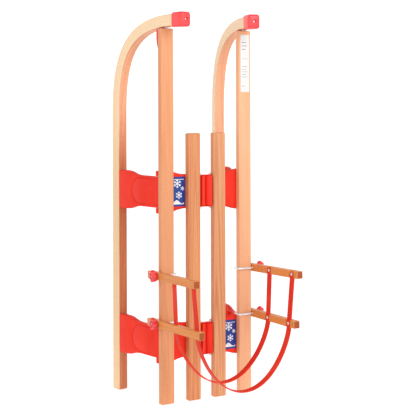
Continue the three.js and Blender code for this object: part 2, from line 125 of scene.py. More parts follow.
ARM_ROW = {
    "upper": {"reach": 218 * MM, "rise": math.radians(1.8), "splay": math.radians(1.2)},
    "lower": {"reach": 221 * MM, "rise": math.radians(1.35), "splay": math.radians(-2.0)},
}
ARM_WIDE, ARM_TALL, ARM_BELOW = 17.7 * MM, 19.6 * MM, 47 * MM
REBATE_DEEP, REBATE_WIDE = 6.5 * MM, 21.6 * MM
ARM_INNER_X = 140.5 * MM
BOLT_RADIUS, BOLT_ABOVE = 2.9 * MM, 3.6 * MM
HOOK_X, HOOK_BEND, HOOK_DOWN = -98.3 * MM, 6 * MM, 18 * MM
KNOB_LOBES, KNOB_RADIUS, KNOB_WAVE = 7, 16.4 * MM, 2 * MM
HOOP_THICK, HOOP_WIDE, HOOP_CLEAR = 3 * MM, 20 * MM, 1.5 * MM


# ---- Mesh tools ----
def new_piece(name, verts, faces, grain=None, end_faces=()):
    """A mesh object; grain holds each point's place along, across and through its wood."""
    mesh = bpy.data.meshes.new(name)
    mesh.from_pydata([tuple(v) for v in verts], [], faces)
    mesh.validate()
    mesh.polygons.foreach_set("use_smooth", [True] * len(mesh.polygons))
    if grain is not None:
        store = mesh.attributes.new("grain", "FLOAT_VECTOR", "POINT")
        store.data.foreach_set("vector", np.array(grain, np.float32).ravel())
    for f in end_faces:
        mesh.polygons[f].material_index = 1
        mesh.polygons[f].use_smooth = False
    piece = bpy.data.objects.new(name, mesh)
    bpy.context.scene.collection.objects.link(piece)
    return piece


def polar(x, y, length, turn):
    """The point at a distance and in a direction from (x, y)."""
    return (x + length * math.cos(turn), y + length * math.sin(turn))


def rounded_rect(wide, tall, radius, inset=0.0, steps=5):
    """A closed outline, anticlockwise, with a support point beside each rounded corner."""
    radius = max(radius - inset, 0.3 * MM)
    x = wide / 2 - inset - radius
    y = tall / 2 - inset - radius
    support = min(0.5 * MM, x * 0.5, y * 0.5)
    points = []
    for cx, cy, corner in ((x, y, 0), (-x, y, 1), (-x, -y, 2), (x, -y, 3)):
        arc = [polar(cx, cy, radius, (corner + i / steps) * math.pi / 2) for i in range(steps + 1)]
        points.append(polar(*arc[0], support, (corner - 1) * math.pi / 2))
        points.extend(arc)
        points.append(polar(*arc[-1], support, (corner + 2) * math.pi / 2))
    return points


def rectangle(x0, y0, x1, y1):
    return [(x0, y0), (x1, y0), (x1, y1), (x0, y1)]


def circle(radius, count=32):
    return [polar(0, 0, radius, 2 * math.pi * i / count) for i in range(count)]


def cubic_weights(t):
    """How much each of a Bezier curve's four points counts at t."""
    return [(1 - t) ** 3, 3 * t * (1 - t) ** 2, 3 * t * t * (1 - t), t ** 3]


def tube_faces(rings, count):
    """Faces of a closed tube through rings of count points each, its two ends last."""
    faces = []
    for i in range(rings - 1):
        for j in range(count):
            k = (j + 1) % count
            faces.append((i * count + j, i * count + k, (i + 1) * count + k, (i + 1) * count + j))
    last = (rings - 1) * count
    faces.append(tuple(reversed(range(count))))
    faces.append(tuple(last + j for j in range(count)))
    return faces


def sweep(name, stations, outline_at, grain_shift=(0, 0, 0)):
    """Joins the outlines at the stations, each (place, side, up, length, inset), into a closed piece."""
    verts, grain = [], []
    for place, side, up, length, inset in stations:
        for a, b in outline_at(inset):
            verts.append(place + side * a + up * b)
            grain.append((length + grain_shift[0], a + grain_shift[1], b + grain_shift[2]))
    faces = tube_faces(len(stations), len(outline_at(0)))
    return new_piece(name, verts, faces, grain, end_faces=(len(faces) - 2, len(faces) - 1))


END_ROUNDING = ((0.0, 1.0), (0.25, 0.35), (0.6, 0.08), (1.0, 0.0))  # share along, share of inset


def straight_stations(start, end, side, up, edge):
    """Stations of a straight bar whose two ends are rounded over by edge."""
    along = (end - start).normalized()
    length = (end - start).length
    rows = []
    for share, inset in END_ROUNDING:
        rows.append((start + along * share * edge, side, up, share * edge, inset * edge))
    for share, inset in reversed(END_ROUNDING):
        rows.append((end - along * share * edge, side, up, length - share * edge, inset * edge))
    return rows


def offset_outline(points, inset):
    """The outline moved inward by inset along its corners' normals; points run anticlockwise."""
    p = np.array(points, float)
    before = p - np.roll(p, 1, 0)
    after = np.roll(p, -1, 0) - p
    before /= np.maximum(np.linalg.norm(before, axis=1, keepdims=True), 1e-12)
    after /= np.maximum(np.linalg.norm(after, axis=1, keepdims=True), 1e-12)
    normal = np.stack([-(before + after)[:, 1], (before + after)[:, 0]], 1)
    normal /= np.maximum(np.linalg.norm(normal, axis=1, keepdims=True), 1e-12)
    lean = np.clip((normal * np.stack([-after[:, 1], after[:, 0]], 1)).sum(1), 0.5, 1)
    return p + normal * (inset / lean)[:, None]


def scaled_outline(points, inset):
    """The outline drawn toward its middle so that its furthest point moves in by inset."""
    p = np.array(points, float)
    return p * (1 - inset / np.linalg.norm(p, axis=1).max())


def prism(name, outline, layers, place, shrink=offset_outline):
    """Stacks the outline through layers of (height, inset) and puts it in place by a matrix."""
    verts = []
    for height, inset in layers:
        for x, y in shrink(outline, inset):
            verts.append(place @ Vector((x, y, height)))
    faces = tube_faces(len(layers), len(outline))
    if place.to_3x3().determinant() < 0:
        faces = [tuple(reversed(f)) for f in faces]
    return new_piece(name, verts, faces)


def rounded_layers(low, high, edge, steps=4):
    """Layers from low to high with quarter-round edges."""
    turns = [math.pi / 2 * i / steps for i in range(steps + 1)]
    lower = [(low + edge * (1 - math.sin(t)), edge * (1 - math.cos(t))) for t in reversed(turns)]
    upper = [(high - edge * (1 - math.sin(t)), edge * (1 - math.cos(t))) for t in turns]
    return lower + upper


def box_piece(name, low, high):
    size = Vector(high) - Vector(low)
    place = Matrix.Translation((Vector(low) + Vector(high)) / 2)
    outline = rectangle(-size.x / 2, -size.y / 2, size.x / 2, size.y / 2)
    return prism(name, outline, [(-size.z / 2, 0), (size.z / 2, 0)], place)


def combine(piece, other, operation):
    """Applies a boolean with another piece, which is then deleted."""
    modifier = piece.modifiers.new("join", "BOOLEAN")
    modifier.operation = operation
    modifier.solver = "MANIFOLD"
    modifier.object = other
    apply_modifiers(piece)
    bpy.data.objects.remove(other)


def cut(piece, tool):
    combine(piece, tool, "DIFFERENCE")


def join(piece, other):
    combine(piece, other, "UNION")


def apply_modifiers(piece):
    bpy.context.view_layer.update()
    graph = bpy.context.evaluated_depsgraph_get()
    made = bpy.data.meshes.new_from_object(piece.evaluated_get(graph))
    piece.modifiers.clear()
    old = piece.data
    piece.data = made
    made.name = old.name
    bpy.data.meshes.remove(old)


def soften(piece, width):
    """Rounds the edges that a boolean left sharp, then shades the piece smooth."""
    modifier = piece.modifiers.new("edge", "BEVEL")
    modifier.width = width
    modifier.segments = 2
    modifier.limit_method = "ANGLE"
    modifier.angle_limit = math.radians(32)
    modifier.miter_outer = "MITER_ARC"
    apply_modifiers(piece)
    return smooth(piece)


def smooth(piece, angle=40):
    piece.data.polygons.foreach_set("use_smooth", [True] * len(piece.data.polygons))
    piece.data.set_sharp_from_angle(angle=math.radians(angle))
    return piece


MIRROR_GRAIN_SHIFT = (0.37, 0.0, 0.0)


def mirrored(piece, name):
    """The same piece on the right side, with its grain moved along."""
    mesh = piece.data.copy()
    mesh.transform(Matrix.Diagonal((-1, 1, 1, 1)))
    mesh.flip_normals()
    if "grain" in mesh.attributes:
        store = mesh.attributes["grain"].data
        values = np.zeros(len(store) * 3, np.float32)
        store.foreach_get("vector", values)
        values = (values.reshape(-1, 3) + np.array(MIRROR_GRAIN_SHIFT, np.float32)).ravel()
        store.foreach_set("vector", values)
    copy = bpy.data.objects.new(name, mesh)
    bpy.context.scene.collection.objects.link(copy)
    return copy


# ---- Materials ----
class Graph:
    """A material's node tree, built by short calls."""

    def __init__(self, name):
        self.material = bpy.data.materials.new(name)
        self.material.use_nodes = True
        self.tree = self.material.node_tree
        self.shader = self.tree.nodes["Principled BSDF"]

    def put(self, socket, value):
        if isinstance(value, bpy.types.NodeSocket):
            self.tree.links.new(value, socket)
        else:
            socket.default_value = value

    def node(self, kind, inputs=(), **settings):
        made = self.tree.nodes.new(kind)
        for key, value in settings.items():
            setattr(made, key, value)
        for key, value in dict(inputs).items():
            self.put(made.inputs[key], value)
        return made

    def math(self, operation, a, b=0.0, c=0.0, clamp=False):
        made = self.node("ShaderNodeMath", operation=operation, use_clamp=clamp)
        for socket, value in zip(made.inputs, (a, b, c)):
            self.put(socket, value)
        return made.outputs[0]

    def plus(self, a, b, clamp=False):
        return self.math("ADD", a, b, clamp=clamp)

    def minus(self, a, b):
        return self.math("SUBTRACT", a, b)

    def times(self, a, b):
        return self.math("MULTIPLY", a, b)

    def scaled(self, vector, scale):
        made = self.node("ShaderNodeVectorMath", operation="MULTIPLY")
        self.put(made.inputs[0], vector)
        made.inputs[1].default_value = scale
        return made.outputs[0]

    def noise(self, vector, detail=2.0, roughness=0.5, distortion=0.0):
        inputs = {"Vector": vector, "Scale": 1.0, "Detail": detail, "Roughness": roughness}
        inputs["Distortion"] = distortion
        return self.node("ShaderNodeTexNoise", inputs).outputs["Fac"]

    def line_noise(self, value, detail):
        inputs = {"W": value, "Scale": 1.0, "Detail": detail}
        return self.node("ShaderNodeTexNoise", inputs, noise_dimensions="1D").outputs["Fac"]

    def step(self, value, low, high, to_low=0.0, to_high=1.0):
        """Runs smoothly from to_low to to_high while the value goes from low to high."""
        made = self.node("ShaderNodeMapRange", interpolation_type="SMOOTHSTEP")
        for key, number in zip(("Value", "From Min", "From Max", "To Min", "To Max"),
                               (value, low, high, to_low, to_high)):
            self.put(made.inputs[key], number)
        return made.outputs[0]

    def mix(self, factor, a, b):
        made = self.node("ShaderNodeMix", data_type="RGBA")
        self.put(made.inputs["Factor"], factor)
        self.put(made.inputs[6], a)
        self.put(made.inputs[7], b)
        return made.outputs[2]

    def bump(self, height, distance, strength=1.0):
        inputs = {"Height": height, "Distance": distance, "Strength": strength}
        self.put(self.shader.inputs["Normal"], self.node("ShaderNodeBump", inputs).outputs[0])

    def set(self, **values):
        for key, value in values.items():
            self.put(self.shader.inputs[key.replace("_", " ")], value)

    def constants(self, **numbers):
        """Numbers that are the same all over the surface, on the shader's own sockets."""
        for key, number in numbers.items():
            self.shader.inputs[key.replace("_", " ")].default_value = number


def rgb(red, green, blue):
    """A linear colour from an 8-bit sRGB one."""
    parts = []
    for part in (red, green, blue):
        c = part / 255
        parts.append(c / 12.92 if c <= 0.04045 else ((c + 0.055) / 1.055) ** 2.4)
    return (*parts, 1.0)


def length_of(g, a, b):
    """The node for the root of a squared plus b squared."""
    return g.math("SQRT", g.plus(g.times(a, a), g.times(b, b)))


def wood(name, light, dark, fleck, pith=(0.004, 0.03), figure=0.3, ring_count=300.0, bent=None):
    """Lacquered beech: growth rings about a pith line, fine fibres and short dark ray flecks.

    bent holds a runner's two side colours and how much painted shade darkens it below its curl.
    """
    g = Graph(name)
    grain = g.node("ShaderNodeAttribute", attribute_name="grain").outputs["Vector"]
    along, across, through = g.node("ShaderNodeSeparateXYZ", {"Vector": grain}).outputs
    wander = g.minus(g.noise(g.scaled(grain, (2.6, 9, 9)), 1.5), 0.5)
    a = g.plus(g.times(wander, 0.016), g.plus(across, pith[0]))
    b = g.plus(through, pith[1])
    radius = g.plus(length_of(g, a, b), g.times(along, 0.017))
    ring = g.step(g.line_noise(g.times(radius, ring_count), 1.0), 0.36, 0.68)
    fibre = g.noise(g.scaled(grain, (14, 900, 900)), 3.0, 0.6)
    streak = g.step(g.noise(g.scaled(grain, (5, 260, 260)), 2.0), 0.35, 0.7)
    tone = g.noise(g.scaled(grain, (1.9, 22, 22)), 1.0)
    dash = g.step(g.noise(g.scaled(grain, (210, 1500, 1500)), 0.0), 0.68, 0.76)
    shade = g.plus(g.times(ring, figure), g.times(streak, 0.14))
    shade = g.plus(shade, g.times(g.minus(fibre, 0.5), 0.4))
    shade = g.plus(shade, g.times(g.minus(tone, 0.4), 0.9), clamp=True)
    if bent is None:
        base = g.mix(shade, light, dark)
    else:
        side_light, side_dark, painted_shade_below_curl = bent
        # painted shade: the straight lower part of a runner is coloured darker, fading out into the curl
        shade = g.plus(shade, g.step(along, *PAINTED_SHADE_FADE_SPAN, painted_shade_below_curl, 0.0))
        side = g.step(g.math("ABSOLUTE", across), RUNNER_WIDE * 0.44, RUNNER_WIDE * 0.485)
        base = g.mix(side, g.mix(shade, light, dark), g.mix(shade, side_light, side_dark))
    g.set(Base_Color=g.mix(g.times(dash, 0.4), base, fleck))
    g.set(Roughness=g.step(fibre, 0.2, 0.8, 0.36, 0.52))
    height = g.plus(g.times(fibre, 0.6), g.times(ring, 0.25))
    g.bump(g.minus(height, g.times(dash, 0.5)), 0.00025, 0.35)
    g.constants(Specular_IOR_Level=0.3, Coat_Weight=0.08, Coat_Roughness=0.25)
    return g.material


def end_grain(name, light, dark):
    """The sawn end of a bar: darker, with its growth rings as arcs."""
    g = Graph(name)
    grain = g.node("ShaderNodeAttribute", attribute_name="grain").outputs["Vector"]
    _, across, through = g.node("ShaderNodeSeparateXYZ", {"Vector": grain}).outputs
    radius = length_of(g, across, g.plus(through, 0.03))
    rings = g.line_noise(g.times(radius, 520.0), 2.0)
    pores = g.noise(g.scaled(grain, (0, 2400, 2400)), 2.0)
    shade = g.plus(g.step(rings, 0.35, 0.65, 0, 0.7), g.times(pores, 0.4), clamp=True)
    g.set(Base_Color=g.mix(shade, light, dark), Roughness=g.step(pores, 0.2, 0.8, 0.5, 0.7))
    g.bump(pores, 0.0002, 0.5)
    return g.material


def plastic(name, light, dark, roughness=0.36, coat=0.0, gloss=0.12):
    """Moulded plastic: a fine moulded grain, faint flow marks and a few rubbed spots."""
    g = Graph(name)
    place = g.node("ShaderNodeTexCoord").outputs["Object"]
    flow = g.noise(g.scaled(place, (16, 16, 9)), 2.0, 0.5, 0.6)
    rub = g.noise(g.scaled(place, (70, 70, 45)), 3.0, 0.65)
    fine = g.noise(g.scaled(place, (1500, 1500, 1500)), 1.0)
    shade = g.step(flow, 0.3, 0.72)
    g.set(Base_Color=g.mix(shade, light, dark))
    rubbed = g.step(rub, 0.45, 0.75, roughness - 0.04, roughness + 0.1)
    g.set(Roughness=g.plus(rubbed, g.times(fine, 0.05)))
    g.bump(fine, 0.00008, 0.35)
    g.constants(Specular_IOR_Level=gloss, Coat_Weight=coat, Coat_Roughness=0.12)
    return g.material


def clear_plastic(name, colour):
    """Tinted see-through plastic of the star knobs."""
    g = Graph(name)
    place = g.node("ShaderNodeTexCoord").outputs["Object"]
    swirl = g.noise(g.scaled(place, (120, 120, 120)), 2.0, 0.5, 0.8)
    paler = tuple(min(1.0, c * 1.5 + 0.02) for c in colour[:3]) + (1.0,)
    g.set(Base_Color=g.mix(g.step(swirl, 0.35, 0.75), colour, paler))
    g.set(Roughness=g.step(swirl, 0.3, 0.8, 0.08, 0.16))
    g.constants(Transmission_Weight=0.12, IOR=1.5, Coat_Weight=0.4, Coat_Roughness=0.05)
    return g.material


def steel(name):
    """Bright zinc plating with fine drawing marks and dull spots."""
    g = Graph(name)
    place = g.node("ShaderNodeTexCoord").outputs["Object"]
    marks = g.noise(g.scaled(place, (300, 1800, 1800)), 2.0)
    dull = g.noise(g.scaled(place, (90, 90, 90)), 3.0, 0.6)
    g.set(Base_Color=g.mix(g.step(dull, 0.4, 0.75), rgb(240, 241, 243), rgb(214, 216, 220)))
    g.set(Metallic=0.6, Roughness=g.step(dull, 0.3, 0.8, 0.28, 0.42))
    g.bump(marks, 0.00006, 0.4)
    return g.material


def printed_film(name, colour, paler, roughness):
    """A printed film: even ink with a faint screen and mottle."""
    g = Graph(name)
    place = g.node("ShaderNodeTexCoord").outputs["Object"]
    mottle = g.noise(g.scaled(place, (45, 45, 45)), 3.0, 0.6)
    screen = g.noise(g.scaled(place, (2600, 2600, 2600)), 0.0)
    shade = g.plus(g.step(mottle, 0.3, 0.75, 0, 0.7), g.times(screen, 0.3), clamp=True)
    g.set(Base_Color=g.mix(shade, colour, paler))
    g.set(Roughness=g.step(mottle, 0.3, 0.8, roughness, roughness + 0.1))
    g.bump(screen, 0.00004, 0.3)
    return g.material


DARK_FLECK = rgb(146, 70, 36)
MATERIAL = {
    "rail_left": wood(
        "beech_rail_left", rgb(226, 156, 110), rgb(202, 124, 78), rgb(160, 84, 44), figure=0.28
    ),
    "rail_right": wood(
        "beech_rail_right", rgb(238, 176, 134), rgb(220, 148, 104), rgb(176, 100, 58), figure=0.2
    ),
    "slat_left": wood(
        "beech_slat_left", rgb(222, 152, 102), rgb(188, 103, 60), DARK_FLECK, (0.002, 0.016), 0.5, 240.0
    ),
    "slat_right": wood(
        "beech_slat_right", rgb(224, 160, 114), rgb(187, 110, 67), DARK_FLECK, (0.004, 0.02), 0.5, 260.0
    ),
    "arm": wood("beech_arm", rgb(232, 148, 78), rgb(202, 110, 46), rgb(134, 66, 24), (0.005, 0.02)),
    "runner": wood(
        "bent_beech", rgb(248, 184, 144), rgb(196, 114, 72), rgb(150, 76, 40), (0.012, 0.05), 0.16,
        # the last number is the painted shade below the runner's curl
        bent=(rgb(244, 214, 176), rgb(232, 196, 152), 0.7),
    ),
    "end": end_grain("beech_end", rgb(188, 88, 33), rgb(139, 59, 18)),
    "pale_end": end_grain("runner_end", rgb(214, 170, 120), rgb(170, 120, 76)),
    "red": plastic("red_plastic", rgb(240, 60, 44), rgb(232, 52, 37), gloss=0.08),
    "cap": plastic("cap_plastic", rgb(248, 80, 82), rgb(238, 68, 70), 0.26, 0.15, 0.2),
    "hoop": plastic("hoop_plastic", rgb(230, 62, 42), rgb(222, 52, 34), 0.42, 0.0, 0.08),
    "knob": clear_plastic("knob_plastic", rgb(248, 50, 56)),
    "steel": steel("zinc_steel"),
    "blue": printed_film("sticker_film", rgb(12, 54, 140), rgb(18, 62, 150), 0.3),
    "ink": printed_film("white_ink", rgb(240, 242, 246), rgb(226, 230, 238), 0.3),
    "label": printed_film("label_film", rgb(220, 220, 219), rgb(215, 215, 214), 0.5),
    "grey": printed_film("grey_ink", rgb(110, 112, 116), rgb(128, 130, 134), 0.5),
}
BODY = {n: o["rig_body"] for n, o in frame["nodes"].items()}


def paint(piece, *materials):
    """Adds the materials, unless the piece was painted before it was cut."""
    if any(piece.data.materials):
        return
    if len(piece.data.materials):
        piece.data.materials.clear()
    for name in materials:
        piece.data.materials.append(MATERIAL[name])


def place_piece(piece, node, *materials):
    """Gives a piece its materials and lets it stand for its CAD node."""
    paint(piece, *materials)
    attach(piece, BODY[node])
    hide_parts(node)
    return piece


def place_pair(left, node, *materials):
    """Places a left piece and its mirror image; node ends in _left or has _left_ in it."""
    right_node = node.replace("left", "right")
    right = mirrored(left, left.name.replace("left", "right"))
    place_piece(left, node, *materials)
    place_piece(right, right_node, *materials)


# ---- Wood ----
def seat_bar(name, node, grain_shift):
    mid, size = span(node)
    half = Z_AXIS * size.z / 2
    stations = straight_stations(mid - half, mid + half, X_AXIS, Y_AXIS, 3.2 * MM)
    return sweep(name, stations, lambda inset: rounded_rect(size.x, size.y, WOOD_EDGE, inset), grain_shift)


def make_seat():
    shifts = {"left": (0.0, 0.006, 0.0), "right": (1.7, -0.009, 0.004)}
    for side in SIDES:
        rail = seat_bar(f"rail_{side}", f"outer_rail_{side}", shifts[side])
        place_piece(rail, f"outer_rail_{side}", f"rail_{side}", "end")
        slat_shift = (shifts[side][0] + 3.1, -shifts[side][1] * 0.7, 0.002)
        slat = seat_bar(f"slat_{side}", f"middle_slat_{side}", slat_shift)
        place_piece(slat, f"middle_slat_{side}", f"slat_{side}", "end")


def leg_point(u, z, v):
    return RUNNER_TOP + U_AXIS * u + V_AXIS * v + Z_AXIS * z


def curl_line(steps=46):
    """Points and directions (u, z) of the runner's middle line."""
    start_u = -RUNNER_DEEP / 2
    ends = [(start_u, CURL_START_Z), (start_u, CURL_START_Z + CURL_PULL * (CURL_Z - CURL_START_Z))]
    ends += [(start_u + (1 - CURL_PULL) * (CURL_TIP_U - start_u), CURL_Z), (CURL_TIP_U, CURL_Z)]
    p = np.array(ends)
    rows = []
    for t in np.linspace(0, 1, steps + 1):
        slopes = [-3 * (1 - t) ** 2, 3 * (1 - t) * (1 - 3 * t), 3 * t * (2 - 3 * t), 3 * t * t]
        along = np.dot(slopes, p)
        rows.append((np.dot(cubic_weights(t), p), along / np.linalg.norm(along)))
    return rows


def make_runner():
    edge = 6 * MM
    stations = []
    for share, inset in END_ROUNDING:
        place = leg_point(-RUNNER_DEEP / 2, share * edge, 0)
        stations.append((place, V_AXIS, -U_AXIS, share * edge, inset * edge))
    for z in (0.25, 0.5, 0.7, 0.76):
        stations.append((leg_point(-RUNNER_DEEP / 2, z, 0), V_AXIS, -U_AXIS, z, 0.0))
    length = CURL_START_Z
    last = np.array((-RUNNER_DEEP / 2, CURL_START_Z))
    for point, along in curl_line():
        length += float(np.linalg.norm(point - last))
        last = point
        out = U_AXIS * -along[1] + Z_AXIS * along[0]
        stations.append((leg_point(point[0], point[1], 0), V_AXIS, out, length, 0.0))
    tip = leg_point(RUNNER_END_U, CURL_Z, 0)
    stations.append((tip, V_AXIS, Z_AXIS, length + 12 * MM, 0.0))

    runner = sweep("runner_bent_left", stations,
                   lambda inset: rounded_rect(RUNNER_WIDE, RUNNER_DEEP, WOOD_EDGE, inset),
                   (RUNNER_GRAIN, 0.0, 0.0))
    place_pair(fixed_normals(runner), "runner_left", "runner", "pale_end")


def fixed_normals(piece):
    """Turns a piece's faces outward where its sweep ran the other way round."""
    mesh = bmesh.new()
    mesh.from_mesh(piece.data)
    bmesh.ops.recalc_face_normals(mesh, faces=mesh.faces)
    mesh.to_mesh(piece.data)
    mesh.free()
    return piece


# ---- Horn: cap, block and screws ----
LEG_PLANE = Matrix((
    (U_AXIS.x, Z_AXIS.x, V_AXIS.x, RUNNER_TOP.x),
    (U_AXIS.y, Z_AXIS.y, V_AXIS.y, RUNNER_TOP.y),
    (U_AXIS.z, Z_AXIS.z, V_AXIS.z, RUNNER_TOP.z),
    (0, 0, 0, 1),
))


def axis_frame(origin, along, up):
    """A matrix whose z runs along, y as near up as it can, at origin."""
    z = Vector(along).normalized()
    if abs(z.dot(up)) > 0.95:
        up = (1, 0, 0)
    x = Vector(up).cross(z).normalized()
    y = z.cross(x)
    return Matrix(((x.x, y.x, z.x, origin[0]), (x.y, y.y, z.y, origin[1]),
                   (x.z, y.z, z.z, origin[2]), (0, 0, 0, 1)))


def cross_screw(name, origin, along, head, rise, shank, length):
    """A pan-head screw with a cross recess; along points out of the head."""
    place = axis_frame(origin, along, Z_AXIS)
    dome = [(rise * math.sin(t), head * (1 - math.cos(t)) * 0.55)
            for t in (0, 0.35, 0.7, 1.05, 1.35, math.pi / 2)]
    body = prism(name, circle(head, 28), [(0, 0)] + [(0.25 * rise, 0)] + [
        (0.25 * rise + h * 0.75, i) for h, i in dome[1:]], place)
    stem = prism("stem", circle(shank, 16), [(-length, 0), (0.1 * rise, 0)], place)
    join(body, stem)
    arm, slot = head * 0.62, head * 0.17
    for turn in (0, math.pi / 2):
        turned = place @ Matrix.Rotation(turn + 0.4, 4, "Z")
        layers = [(rise * 0.45, 0), (rise * 1.6, 0)]
        cut(body, prism("slot", rectangle(-arm, -slot, arm, slot), layers, turned))
    return smooth(body, 35)


def make_horn_cap():
    place = LEG_PLANE @ axis_frame((0, CAP_Z, 0), (1, 0, 0), (0, 1, 0))
    outline = rounded_rect(CAP_WIDE, CAP_TALL, 7 * MM, 0, 6)
    layers = [(CAP_LOW, 0.8 * MM), (CAP_LOW + 0.5 * MM, 0.2 * MM), (CAP_LOW + 1.2 * MM, 0)]
    for i in range(8):
        turn = math.pi / 2 * i / 7
        crown = CAP_HIGH - 1.6 * MM - 9 * MM * (1 - math.sin(turn))
        layers.append((crown, 7.5 * MM * (1 - math.cos(turn))))
    layers += [(CAP_HIGH - 0.9 * MM, 10.5 * MM), (CAP_HIGH - 0.35 * MM, 15 * MM), (CAP_HIGH, 19 * MM)]
    cap = prism("horn_cap_moulded_left", outline, layers, place, scaled_outline)
    socket = rounded_rect(RUNNER_WIDE + 1 * MM, RUNNER_DEEP + 1 * MM, WOOD_EDGE, 0, 4)
    socket_place = LEG_PLANE @ axis_frame((0, CURL_Z, 0), (1, 0, 0), (0, 1, 0))
    socket_layers = [(CAP_LOW - 5 * MM, 0), (RUNNER_END_U + 2 * MM, 0)]
    cut(cap, prism("socket", socket, socket_layers, socket_place))
    hole = prism("hole", circle(4.8 * MM, 24), [(CAP_HIGH - 7 * MM, 0), (CAP_HIGH + 5 * MM, 0)], place)
    cut(cap, hole)
    place_pair(soften(cap, 0.5 * MM), "horn_cap_left", "cap")


def make_horn_screws():
    in_cap = LEG_PLANE @ Vector((CAP_HIGH - 5.6 * MM, CAP_Z, 0))
    screw = cross_screw("horn_cap_fixing_left", in_cap, U_AXIS, 3.0 * MM, 1.7 * MM, 1.75 * MM, 20 * MM)
    place_pair(screw, "horn_cap_screw_left", "steel")
    on_curl = Vector((-RAIL_X, (SEAT_Y + UNDER_SEAT_Y) / 2, 1029.6 * MM))
    screw = cross_screw("horn_fixing_left", on_curl, Z_AXIS, 5 * MM, 2.4 * MM, 2.2 * MM, 70 * MM)
    place_pair(screw, "horn_screw_left", "steel")


HORN_BLOCK_EDGE = [  # millimetres along u and z
    (190, 936), (190, 998.6), (170.2, 998.6), (170.2, 974),
    (171.2, 964), (174.6, 952), (179.6, 942), (184, 936),
]


def make_horn_block():
    outline = [(u * MM, z * MM) for u, z in HORN_BLOCK_EDGE]
    half = 12.5 * MM
    block = prism("horn_block_moulded_left", outline, [(-half, 0), (half, 0)], LEG_PLANE)
    rail = box_piece("rail", (-0.2, SEAT_Y - 0.02, 0.9), (0, UNDER_SEAT_Y + 0.3 * MM, 1.02))
    cut(block, rail)
    place_pair(soften(block, 0.9 * MM), "horn_block_left", "red")


def make_horn():
    make_horn_cap()
    make_horn_block()
    make_horn_screws()


# ---- Brackets ----
def spline(points, steps):
    """A smooth line through the points (Catmull-Rom)."""
    p = [np.array(points[0])] + [np.array(q) for q in points] + [np.array(points[-1])]
    rows = []
    for i in range(1, len(p) - 2):
        for k in range(steps):
            t = k / steps
            rows.append(0.5 * (2 * p[i] + (p[i + 1] - p[i - 1]) * t
                               + (2 * p[i - 1] - 5 * p[i] + 4 * p[i + 1] - p[i + 2]) * t * t
                               + (3 * p[i] - p[i - 1] - 3 * p[i + 1] + p[i + 2]) * t ** 3))
    rows.append(p[-2])
    return [tuple(r) for r in rows]


def both_edges(upper):
    """A closed outline from its upper edge and that edge's mirror image, anticlockwise."""
    return [(x, -y) for x, y in upper] + [(x, y) for x, y in reversed(upper)]


# Upper edges, in millimetres: (u, height) of a leg and (x, height) of a wing.
LEG_EDGE = [(0, 49), (3, 51.5), (20, 52.4), (43, 52.2), (58, 49.5), (76, 44.6), (95, 42.2), (120, 42)]
WING_EDGE = [
    (20.5, 46.5), (40, 46.5), (60, 46.5), (78, 49.2), (92, 53.4), (106, 55.8), (120, 56.8), (130, 56.9),
]
LEG_POCKETS = ((12, 56, 27.8, 33), (60, 104, 23.8, 28.5), (108, 152, 23.8, 28.5))  # from, to, tall, pitch
LEG_OUTER = RUNNER_WIDE / 2
LEG_END_U = 200 * MM
BARREL_RADIUS, BARREL_HALF = 9 * MM, 42 * MM
LUG_RADIUS, LUG_FROM, LUG_TO = 8.5 * MM, 43.4 * MM, 57 * MM
BIG = 0.08  # a tool block reaches this far past what it cuts


def bore_at(x, y, z, half=0.07):
    place = Matrix.Translation((x, y, z))
    return prism("bore", circle(BORE_RADIUS, 24), [(-half, 0), (half, 0)], place)


def raise_tongue(leg, place):
    """The raised round-ended panel on a leg's outside, with a groove round it."""
    root = LEG_END_U - 4 * MM
    tongue = [(root, TONGUE_HALF)]
    for i in range(29):
        turn = math.pi * i / 28
        tongue.append((TONGUE_U - TONGUE_HALF * math.sin(turn), TONGUE_HALF * math.cos(turn)))
    tongue.append((root, -TONGUE_HALF))
    gap = 3.2 * MM
    moat = [(u + (gap if u > root - 6 * MM else 0), h) for u, h in offset_outline(tongue, -gap)]
    groove = [(LEG_OUTER - 1.2 * MM, 0.8 * MM), (LEG_OUTER + 1 * MM, 0)]
    cut(leg, prism("moat", moat, groove, place))
    rise = [(LEG_OUTER - 3 * MM, 0), (LEG_OUTER + TONGUE_RISE * 0.25, 0)]
    rise += [(LEG_OUTER + TONGUE_RISE * 0.8, 0.6 * MM), (LEG_OUTER + TONGUE_RISE, 1.6 * MM)]
    join(leg, prism("tongue", tongue, rise, place))


def cut_leg_pockets(leg, place):
    layers = [(LEG_OUTER - LEG_THICK - 1 * MM, 0), (LEG_OUTER - 5 * MM, 0.8 * MM)]
    for row in (-1, 0, 1):
        for low, high, tall, pitch in LEG_POCKETS:
            outline = rounded_rect((high - low) * MM, tall * MM, 3 * MM, 0, 3)
            shift = Matrix.Translation(((low + high) / 2 * MM, row * pitch * MM, 0))
            cut(leg, prism("pocket", outline, layers, place @ shift))


